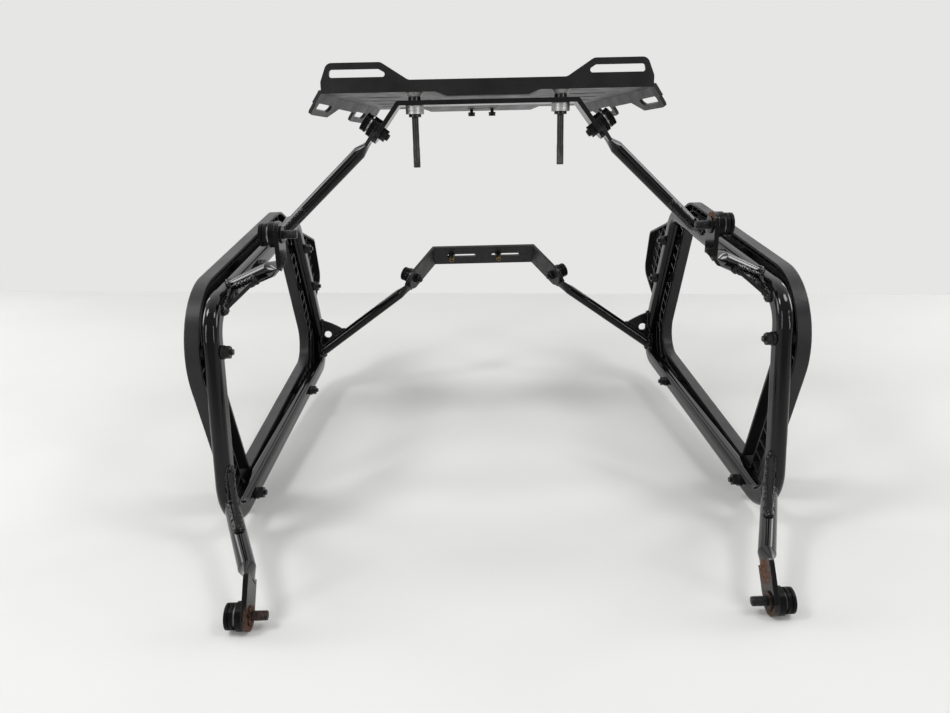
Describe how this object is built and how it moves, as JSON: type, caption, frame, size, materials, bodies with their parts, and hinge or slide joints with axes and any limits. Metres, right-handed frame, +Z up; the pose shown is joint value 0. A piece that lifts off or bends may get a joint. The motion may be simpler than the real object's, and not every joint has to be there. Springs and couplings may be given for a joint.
{
  "type": "pannier frame",
  "caption": "Rear pannier frame: ring-shaped side carriers with ribbed moulded covers, tubular stays, bolted feet and arms, a bent rear bracket and a slotted sheet luggage rack.",
  "frame": {"origin": "midway between the two tail bolts, just under the lower faces of their retaining washers", "axes": "+X to the left side of the vehicle, +Y to the rear, +Z up"},
  "size_m": [0.623, 0.7685, 0.5005],
  "materials": {
    "frame_black": "gloss",
    "rack_black": "satin",
    "strap_black": "satin",
    "bracket_black": "satin",
    "bolt_steel": "satin",
    "raw_aluminium": "satin",
    "collar_black": "gloss",
    "screw_black": "satin",
    "zinc_screw": "satin",
    "disc_rubber": "satin",
    "bright_steel": "satin",
    "rusty_steel": "matte",
    "cover_plastic": "matte"
  },
  "bodies": {
    "root": {"bracket_slot_nuts": "screw_black", "bracket_slot_screws": "zinc_screw", "fastener_bolts": "screw_black", "fastener_inner_discs": "disc_rubber", "fastener_outer_discs": "disc_rubber", "fastener_spacer_rings": "bright_steel", "left_arm_web": "frame_black", "left_cover": "cover_plastic", "left_cover_screws": "screw_black", "left_front_leg": "frame_black", "left_leg_web": "frame_black", "left_mount_arm": "frame_black", "left_rear_gusset": "frame_black", "left_rear_stay": "frame_black", "left_ring_tube": "frame_black", "left_stay_web": "frame_black", "left_upper_stay": "frame_black", "mount_washers": "rusty_steel", "plate_screws": "screw_black", "rack_cross_strap": "strap_black", "rack_plate": "rack_black", "rear_bracket": "bracket_black", "right_arm_web": "frame_black", "right_cover": "cover_plastic", "right_cover_screws": "screw_black", "right_front_leg": "frame_black", "right_leg_web": "frame_black", "right_mount_arm": "frame_black", "right_rear_gusset": "frame_black", "right_rear_stay": "frame_black", "right_ring_tube": "frame_black", "right_stay_web": "frame_black", "right_upper_stay": "frame_black", "stay_nuts": "screw_black", "tail_bolts": "bolt_steel", "tail_collars": "collar_black", "tail_retaining_washers": "collar_black", "tail_spacers": "raw_aluminium"}
  },
  "joints": []
}
